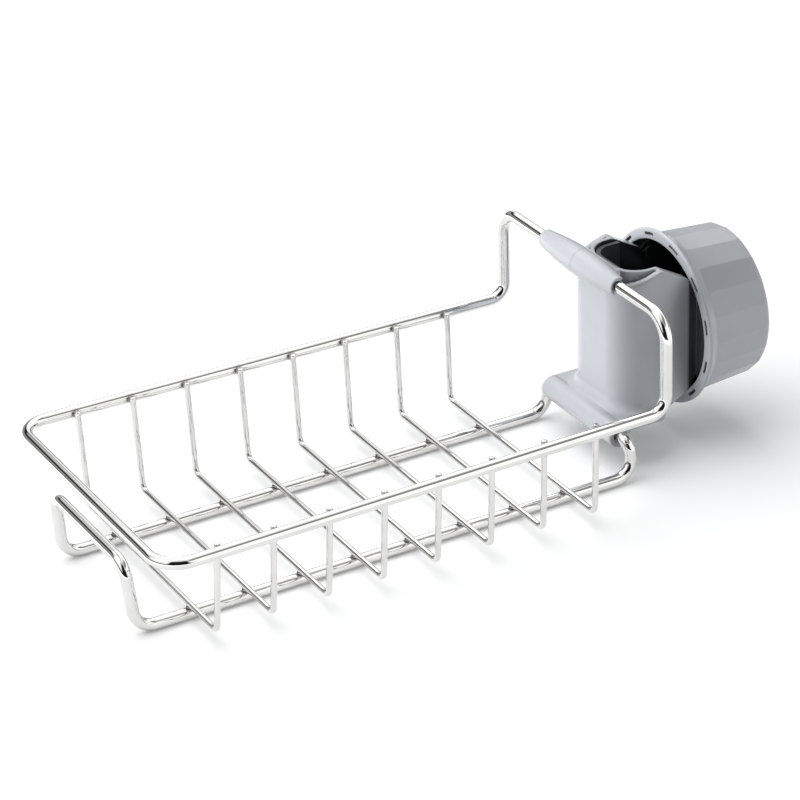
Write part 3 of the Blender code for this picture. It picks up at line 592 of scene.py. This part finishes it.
def surfaceNet(distance, low, high, cell, passes=4, stride=0.3):
    # The zero surface of a distance on a grid: one point in each cell that the surface crosses, at the mean
    # of its crossings of the cell's edges, and one quad round each grid edge that it crosses. The points are
    # then moved onto the surface along the distance's gradient, at most one stride of a cell in each pass.
    count = np.ceil((np.array(high) - low) / cell).astype(int) + 1
    axes = [l + cell * np.arange(n) for l, n in zip(low, count)]
    field = distance(np.stack(np.meshgrid(*axes, indexing="ij"), -1))
    solid = field < 0
    n = count - 1
    total, hits = np.zeros((*n, 3)), np.zeros(n)
    for axis in range(3):
        first = [slice(None)] * 3
        second = [slice(None)] * 3
        first[axis], second[axis] = slice(0, -1), slice(1, None)
        a, b = field[tuple(first)], field[tuple(second)]
        crossed = (a < 0) != (b < 0)
        share = np.where(crossed, a / np.where(crossed, a - b, 1), 0)
        others = [i for i in range(3) if i != axis]
        for j in (0, 1):
            for k in (0, 1):
                pick = [slice(None)] * 3
                pick[others[0]] = slice(j, j + n[others[0]])
                pick[others[1]] = slice(k, k + n[others[1]])
                found = crossed[tuple(pick)]
                spot = np.zeros((*n, 3))
                spot[..., axis] = share[tuple(pick)]
                spot[..., others[0]], spot[..., others[1]] = j, k
                total += spot * found[..., None]
                hits += found
    live = hits > 0
    number = np.full(n, -1)
    number[live] = np.arange(live.sum())
    points = (np.argwhere(live) + total[live] / hits[live][:, None]) * cell + low
    quads = []
    for axis in range(3):
        first = [slice(1, -1)] * 3
        second = [slice(1, -1)] * 3
        first[axis], second[axis] = slice(0, -1), slice(1, None)
        a, b = solid[tuple(first)], solid[tuple(second)]
        u, v = (axis + 1) % 3, (axis + 2) % 3
        for wanted, turned in ((a & ~b, False), (~a & b, True)):
            at = np.argwhere(wanted)
            at[:, u] += 1
            at[:, v] += 1
            ring = []
            for du, dv in ((1, 1), (0, 1), (0, 0), (1, 0)):
                step = at.copy()
                step[:, u] -= du
                step[:, v] -= dv
                ring.append(number[tuple(step.T)])
            ring = np.stack(ring, -1)
            quads.append(ring[:, ::-1] if turned else ring)
    for _ in range(passes):
        slope = gradient(distance, points)
        size = np.maximum(np.sum(slope * slope, -1, keepdims=True), 0.3)
        move = distance(points)[:, None] * slope / size
        points = points - np.clip(move, -stride * cell, stride * cell)
    return points, np.concatenate(quads)


def makeClamp():
    s, net, m = clampShape, clampNet, clampMarks
    cell, reach = net["cell"], s["sleeveHalf"] + net["margin"]
    low = np.array((net["x"][0] - cell / 3, -reach, net["z"][0]))
    points, quads = surfaceNet(clampDistance, low, (net["x"][1], reach, net["z"][1]), cell)
    x, y, z = points.T
    # painted shade: the walls of the tap channel are coloured near black, a little lighter towards the front,
    # and so are the jaws behind the neck, deep in the cap's mouth
    lining = (1 - smoothStep(*m["lining"], np.abs(seatDistance(x, y)))) * (x < s["jawEnd"] - 0.5)
    lining = lining * (m["frontLevel"] + (1 - m["frontLevel"]) * smoothStep(*m["frontSpan"], x))
    lining = np.maximum(lining, m["jawLevel"] * smoothStep(*m["jawSpan"], x - s["neckX"]))
    # a faint mould seam runs round the sleeve, on one row of the net's cells
    seamPlace = low[1] + (round((m["seamY"] - low[1]) / cell) + 0.5) * cell
    seam = (1 - smoothStep(*m["seam"], np.abs(y - seamPlace))) * (z > s["lipLow"]) * (x < s["lipFront"] + 1)
    marks = np.maximum(lining, m["seamLevel"] * seam)
    piece = makePiece("mouldedClamp", points, [quads], bodyPlastic, "rack", ["clamp_body"],
                      marks=marks)
    normals = unit(gradient(clampDistance, points, net["normalReach"]))
    piece.data.normals_split_custom_set_from_vertices(normals.tolist())
    print("clamp faces:", len(quads))


makeClamp()

# Screw cap

capShape = {"mouth": 210.3, "height": 40.0, "length": 27.2, "mouthRadius": 26.5, "boreRadius": 24.2,
            "coneDepth": 3.7, "flangeRadius": 30.2, "flangeDepth": 1.5, "rounding": 0.7, "collarDepth": 4.6,
            "skirtRadius": 27.55, "endRadius": 25.9, "endRounding": 2.2, "endWall": 2.2, "flats": 20,
            "hubRadius": 7.0, "hubLength": 18.5, "stemHole": 4.3, "stemDepth": 12.0, "slots": 12,
            "slotLength": 5.0, "slotInner": 27.75, "slotOuter": 28.85, "slotDepth": 1.4, "slotTurn": -16.3,
            "slotEdge": (-0.45, 0.1), "slotShade": 0.9, "threadPitch": 4.0, "threadDepth": 0.75,
            "threadFlank": (0.30, 0.75), "threadMargins": (0.5, 1.6), "threadFade": 1.5, "threadRows": 48,
            "columns": 720, "sharpAngle": 38}


def threadEnds():
    # how deep in the mouth the thread starts, and where it stops short of the floor
    front, back = capShape["threadMargins"]
    return capShape["coneDepth"] + front, capShape["length"] - capShape["endWall"] - back


def capProfile():
    # rows of x from the mouth, radius, and shares of the flats, the slots and the thread, from the stem hole
    # through the bore and round the flange to the closed end
    def plain(pairs):
        return [(x, r, 0, 0, 0) for x, r in pairs]

    s = capShape
    hub, bore, flange, skirt, collar = (s[key] for key in ("hubRadius", "boreRadius", "flangeRadius",
                                                           "skirtRadius", "collarDepth"))
    mouth, hole, rim, back = s["mouthRadius"], s["stemHole"], s["rounding"], s["flangeDepth"]
    floor = s["length"] - s["endWall"]
    hubMouth = floor - s["hubLength"]
    holeFloor = hubMouth + s["stemDepth"]
    turn = np.radians(np.linspace(0, 90, 7))
    rows = plain([(holeFloor, hole - 0.3), (holeFloor - 0.3, hole), (hubMouth + 0.4, hole),
                  (hubMouth, hole + 0.4), (hubMouth, hub - 0.5), (hubMouth + 0.15, hub - 0.15),
                  (hubMouth + 0.5, hub), (floor - 1, hub)])
    rows += plain([(floor - 1 + math.sin(t), hub + 1 - math.cos(t)) for t in turn[1:]])
    rows += plain([(floor, bore - 1)])
    rows += plain([(floor - 1 + math.cos(t), bore - 1 + math.sin(t)) for t in turn[1:]])
    threadStart, threadStop = threadEnds()
    rows += [(x, bore, 0, 0, 1) for x in np.linspace(threadStop, threadStart, s["threadRows"])]
    rows += plain([(s["coneDepth"], bore + 0.05), (0.3, mouth - 0.22), (0.08, mouth - 0.02),
                   (0, mouth + 0.18), (0, s["slotInner"])])
    rows += [(0, s["slotInner"] + 0.01, 0, 1, 0), (0, s["slotOuter"] - 0.01, 0, 1, 0)]
    rows += plain([(0, s["slotOuter"])])
    rows += plain([(rim - rim * math.cos(t), flange - rim + rim * math.sin(t)) for t in turn])
    rows += plain([(back - rim + rim * math.sin(t), flange - rim + rim * math.cos(t)) for t in turn[:6]])
    rows += plain([(back + 0.28, flange - 0.75), (back + 0.62, flange - 1.0), (collar - 0.15, skirt + 0.14),
                   (collar, skirt + 0.02)])
    slope = (s["endRadius"] - skirt) / (s["length"] - collar)
    bend = s["endRounding"]
    shoulder = s["length"] - bend
    high = skirt + slope * (shoulder - collar)
    rows += [(collar + 0.04, skirt, 1, 0, 0)]
    rows += [(x, skirt + slope * (x - collar), 1, 0, 0) for x in np.linspace(collar + 0.5, shoulder, 5)]
    rows += [(shoulder + bend * math.sin(t), high - bend * (1 - math.cos(t)), math.cos(t) ** 2, 0, 0)
             for t in turn[1:]]
    rows += plain([(s["length"], high - bend - 0.6), (s["length"], 12.0), (s["length"], 0.5)])
    return np.array(rows)


def makeCap():
    # A profile turned about the cap's axis. A flat lowers the radius to r cos 9 / cos(t - 9), t running from
    # 0 to 18 degrees over each flat. A slot sinks the flange face, and the thread is a groove that climbs
    # one pitch in each turn.
    s = capShape
    profile = capProfile()
    x, radius, flat, slot, thread = (profile[:, i][:, None] for i in range(5))
    angle = np.linspace(0, 360, s["columns"], endpoint=False)[None, :]
    half = 180 / s["flats"]
    facet = math.cos(math.radians(half)) / np.cos(np.radians(angle % (2 * half) - half))
    r = radius * (1 - flat * (1 - facet))
    threadStart, threadStop = threadEnds()
    wave = 0.5 + 0.5 * np.cos(math.tau * (x / s["threadPitch"] + angle / 360))
    fade = s["threadFade"]
    groove = thread * smoothStep(0, fade, x - threadStart) * smoothStep(0, fade, threadStop - x)
    r = r + groove * s["threadDepth"] * smoothStep(*s["threadFlank"], wave)
    spacing = 360 / s["slots"]
    offset = np.abs((angle - s["slotTurn"] + spacing / 2) % spacing - spacing / 2)
    halfSlot = math.degrees(s["slotLength"] / 2 / ((s["slotInner"] + s["slotOuter"]) / 2))
    sunk = slot * (1 - smoothStep(*s["slotEdge"], offset - halfSlot))
    along = x + s["slotDepth"] * sunk
    turn = np.radians(angle)
    rings = np.stack(np.broadcast_arrays(s["mouth"] + along, -r * np.cos(turn),
                                         s["height"] + r * np.sin(turn)), -1)
    poles = np.array(((s["mouth"] + x[0, 0], 0, s["height"]), (s["mouth"] + x[-1, 0], 0, s["height"])))
    points = np.concatenate((poles[:1], rings.reshape(-1, 3), poles[1:]))
    # painted shade: the slots, and everything behind the lead-in cone, are coloured near black
    lastThread = np.flatnonzero(thread[:, 0])[-1]
    shadedInside = np.arange(len(profile))[:, None] < lastThread + 3
    marks = np.concatenate(((1.0,), np.maximum(shadedInside, s["slotShade"] * sunk).ravel(), (0.0,)))
    piece = makePiece("turnedCap", points, turnedSides(len(profile), s["columns"]), capPlastic, "cap",
                      ["screw_cap"], marks=marks)
    piece.data.set_sharp_from_angle(angle=math.radians(s["sharpAngle"]))


makeCap()
print("cap made")

# The plate and the two rubber pads keep their own meshes
innerLooks = {"pressure_plate": bodyPlastic, "seat_pad": softRubber, "pressure_pad": softRubber}
for nodeName, material in innerLooks.items():
    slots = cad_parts[nodeName].data.materials
    slots.clear()
    slots.append(material)
print("inner pieces coloured")

# Table, surroundings, lamps and camera, in metres

studio = {"floorRadius": 1.15, "floorSides": 96, "floorColour": 0.95, "nearGlow": 0.10, "farGlow": 1.0,
          "glowSpan": (0.16, 0.45), "worldTone": (0.97, 0.985, 1.0), "worldLight": 0.38,
          "lampAim": (0.03, 0, 0.03)}
lamps = {                                     # place, size, power
    "backLamp": ((-0.62, 0.52, 0.42), (0.6, 0.5), 14.0),
    "topLamp": ((0.0, 0.40, 0.80), (1.0, 0.9), 6.8),
    "tableLamp": ((-0.26, 0.24, 0.82), (1.3, 1.1), 10.0),
    "frontLamp": ((0.72, -0.64, 0.04), (0.6, 0.2), 4.8),
    "leftLamp": ((-0.86, 0.16, 0.30), (0.4, 0.3), 4.4)}
dome = {"radius": 1.3, "rows": 189, "columns": 360, "lowest": -4, "cameraSide": -118.4}
domeAreas = {                                 # spans in degrees, to the right of the camera and upwards
    "wall": {"levels": (1.15, 1.45), "lift": (15, 45)},
    "strip": {"height": 13, "gap": ((25, 45), (95, 120)), "shade": 0.95},
    "room": {"side": (24, 36), "lift": ((3, 6), (70, 88)), "fade": (46, 70), "fadeShare": 0.75,
             "shade": 0.99},
    "upper": {"side": ((24, 40), (100, 130)), "lift": ((37, 41), (55, 75)), "shade": 0.8},
    "behind": {"side": ((-172, -160), (-100, -85)), "lift": (-4, 4, 10, 20, 24, 32, 37, 90),
               "levels": (0.08, 0.1, 0.38, 0.4, 0.03, 0.02, 1.1, 1.4)},
    "window": {"side": ((36, 48), (98, 118)), "top": (36, 40), "lift": (-4, 0, 10),
               "levels": (1.0, 1.15, 1.4)},
    "panel": {"right": (136, 146), "left": (-132, -122), "lift": ((37, 41), (58, 64)), "level": 3.0}}
view = {"place": (-0.4771, -0.86823, 0.55598), "azimuth": -28.4475, "elevation": 27.6575, "roll": -2.0178,
        "lens": 155.894, "sensor": 36.0, "clip": (0.05, 20.0)}      # lens and sensor in millimetres


def placeMesh(name, points, faces, material):
    # an object of the studio, with its points in metres
    mesh = bpy.data.meshes.new(name)
    mesh.from_pydata(points.tolist(), [], faces)
    mesh.materials.append(material)
    holder = bpy.data.objects.new(name, mesh)
    bpy.context.scene.collection.objects.link(holder)
    return holder


def seenRays(tree):
    # 1 for rays that show a thing directly, in a reflection or through glass, and 0 for rays that light
    rays = addNode(tree, "ShaderNodeLightPath").outputs
    seen = addNode(tree, "ShaderNodeMath", {0: rays["Is Camera Ray"], 1: rays["Is Glossy Ray"]})
    return addNode(tree, "ShaderNodeMath", {0: seen.outputs[0], 1: rays["Is Transmission Ray"]},
                   use_clamp=True).outputs[0]


def makeFloor():
    # a matt disc, with a glow that is seen but lights nothing, and that grows away from the rack
    s = studio
    turn = np.linspace(0, math.tau, s["floorSides"], endpoint=False)
    points = np.stack((np.cos(turn), np.sin(turn), np.zeros(len(turn))), -1) * s["floorRadius"]
    material, tree = newMaterial("whiteTable")
    place = addNode(tree, "ShaderNodeTexCoord")
    away = addNode(tree, "ShaderNodeVectorMath", {0: place.outputs["Object"]}, operation="LENGTH")
    spread = addNode(tree, "ShaderNodeMapRange", {
        "Value": away.outputs["Value"], "From Min": s["glowSpan"][0], "From Max": s["glowSpan"][1],
        "To Min": s["nearGlow"], "To Max": s["farGlow"]}, interpolation_type="SMOOTHSTEP")
    glow = addNode(tree, "ShaderNodeMath", {0: seenRays(tree), 1: spread.outputs[0]}, operation="MULTIPLY")
    level = s["floorColour"]
    matte = addNode(tree, "ShaderNodeBsdfDiffuse", {"Color": (level, level, level, 1)})
    shine = addNode(tree, "ShaderNodeEmission", {"Color": (1, 1, 1, 1), "Strength": glow.outputs[0]})
    finishMaterial(tree, addNode(tree, "ShaderNodeAddShader", {0: matte.outputs[0], 1: shine.outputs[0]}))
    material.cycles.emission_sampling = "NONE"
    floor = placeMesh("tableTop", points, [list(range(len(turn)))], material)
    for name, state in (("tableOnly", "INCLUDE"), ("allButTable", "EXCLUDE")):
        receivers = bpy.data.collections.new(name)
        receivers.objects.link(floor)
        receivers.collection_objects[0].light_linking.link_state = state


def domeShades(lift, side):
    # The dome's brightness by height and by side: a white wall and ceiling, a dark strip along the horizon,
    # the dark room round the camera and a shade high on the right, then three areas that are laid over them.
    wall, strip, room, upper, behind, window, panel = domeAreas.values()
    low, high = wall["levels"]
    glow = low + (high - low) * smoothStep(*wall["lift"], lift)
    stripTop = strip["height"] * (1 - between(side, *strip["gap"]))
    stripShade = (1 - smoothStep(stripTop - 2, stripTop + 2, lift)) * (stripTop > 1)
    roomShade = (1 - smoothStep(*room["side"], np.abs(side))) * between(lift, *room["lift"])
    roomShade = roomShade * (1 - room["fadeShare"] * smoothStep(*room["fade"], lift))
    upperShade = between(side, *upper["side"]) * between(lift, *upper["lift"])
    glow = glow * (1 - np.maximum.reduce((strip["shade"] * stripShade, room["shade"] * roomShade,
                                          upper["shade"] * upperShade)))
    # behind on the left, from the horizon up: dark, half light, a black edge, then the ceiling
    share = between(side, *behind["side"])
    glow = glow * (1 - share) + np.interp(lift, behind["lift"], behind["levels"]) * share
    # a bright window low on the right, and a brighter soft panel high up behind
    share = between(side, *window["side"]) * (1 - smoothStep(*window["top"], lift))
    glow = np.maximum(glow, share * np.interp(lift, window["lift"], window["levels"]))
    share = np.maximum(smoothStep(*panel["right"], side), 1 - smoothStep(*panel["left"], side))
    return np.maximum(glow, share * between(lift, *panel["lift"]) * panel["level"])


def makeDome():
    # A dome that only reflections see.
    # Point = R (cos e cos a, cos e sin a, sin e), where e is the elevation and a the azimuth.
    s = dome
    elevation = np.radians(np.linspace(s["lowest"], 90, s["rows"]))[:, None]
    azimuth = np.linspace(-math.pi, math.pi, s["columns"], endpoint=False)[None, :]
    direction = np.stack(np.broadcast_arrays(np.cos(elevation) * np.cos(azimuth),
                                             np.cos(elevation) * np.sin(azimuth), np.sin(elevation)), -1)
    lift, side = np.broadcast_arrays(np.degrees(elevation), np.degrees(azimuth))
    side = (side - s["cameraSide"] + 180) % 360 - 180        # degrees to the right of the camera
    material, tree = newMaterial("surroundingsShade")
    shade = addNode(tree, "ShaderNodeAttribute", attribute_name="shade")
    finishMaterial(tree, addNode(tree, "ShaderNodeEmission", {"Color": (1, 1, 1, 1),
                                                              "Strength": shade.outputs["Fac"]}))
    material.cycles.emission_sampling = "NONE"
    room = placeMesh("surroundings", direction.reshape(-1, 3) * s["radius"],
                     gridQuads(s["rows"], s["columns"]).tolist(), material)
    shades = room.data.attributes.new("shade", "FLOAT", "POINT")
    shades.data.foreach_set("value", domeShades(lift, side).astype(np.float32).ravel())
    room.data.shade_smooth()
    room.visible_camera = False
    room.visible_diffuse = False
    room.visible_shadow = False
    room.visible_volume_scatter = False


def makeWorld():
    # a soft light from all round, which is seen as plain white
    world = bpy.data.worlds.new("studio")
    bpy.context.scene.world = world
    world.use_nodes = True
    tree = world.node_tree
    tree.nodes.clear()
    plain = addNode(tree, "ShaderNodeBackground", {"Color": (*studio["worldTone"], 1),
                                                   "Strength": studio["worldLight"]})
    white = addNode(tree, "ShaderNodeBackground", {"Color": (1, 1, 1, 1), "Strength": 1.0})
    both = addNode(tree, "ShaderNodeMixShader", {0: seenRays(tree), 1: plain.outputs[0], 2: white.outputs[0]})
    addNode(tree, "ShaderNodeOutputWorld", {"Surface": both.outputs[0]})


def makeLamp(name, place, size, power):
    # one lamp lights the table alone and the others the rack alone, so that the table keeps only the soft
    # shadow under the rack
    lamp = bpy.data.lights.new(name, "AREA")
    lamp.shape = "RECTANGLE"
    lamp.size, lamp.size_y = size
    lamp.energy = power
    holder = bpy.data.objects.new(name, lamp)
    holder.location = place
    holder.rotation_euler = (Vector(studio["lampAim"]) - Vector(place)).to_track_quat("-Z", "Y").to_euler()
    bpy.context.scene.collection.objects.link(holder)
    holder.visible_glossy = False             # reflections see the dome instead
    receivers = "tableOnly" if name == "tableLamp" else "allButTable"
    holder.light_linking.receiver_collection = bpy.data.collections[receivers]


def makeCamera():
    camera = bpy.data.cameras.new("camera")
    camera.lens = view["lens"]
    camera.sensor_width = view["sensor"]
    camera.clip_start, camera.clip_end = view["clip"]
    holder = bpy.data.objects.new("camera", camera)
    azimuth, elevation, roll = (math.radians(view[key]) for key in ("azimuth", "elevation", "roll"))
    ahead = Vector((-math.sin(azimuth) * math.cos(elevation), math.cos(azimuth) * math.cos(elevation),
                    -math.sin(elevation)))
    aimed = ahead.to_track_quat("-Z", "Y").to_matrix()
    holder.rotation_euler = (aimed @ Matrix.Rotation(roll, 3, "Z")).to_euler()
    holder.location = view["place"]
    bpy.context.scene.collection.objects.link(holder)
    bpy.context.scene.camera = holder


makeFloor()
makeDome()
makeWorld()
for name, (place, size, power) in lamps.items():
    makeLamp(name, place, size, power)
makeCamera()
bpy.context.scene.view_settings.view_transform = "Standard"
print("studio made")
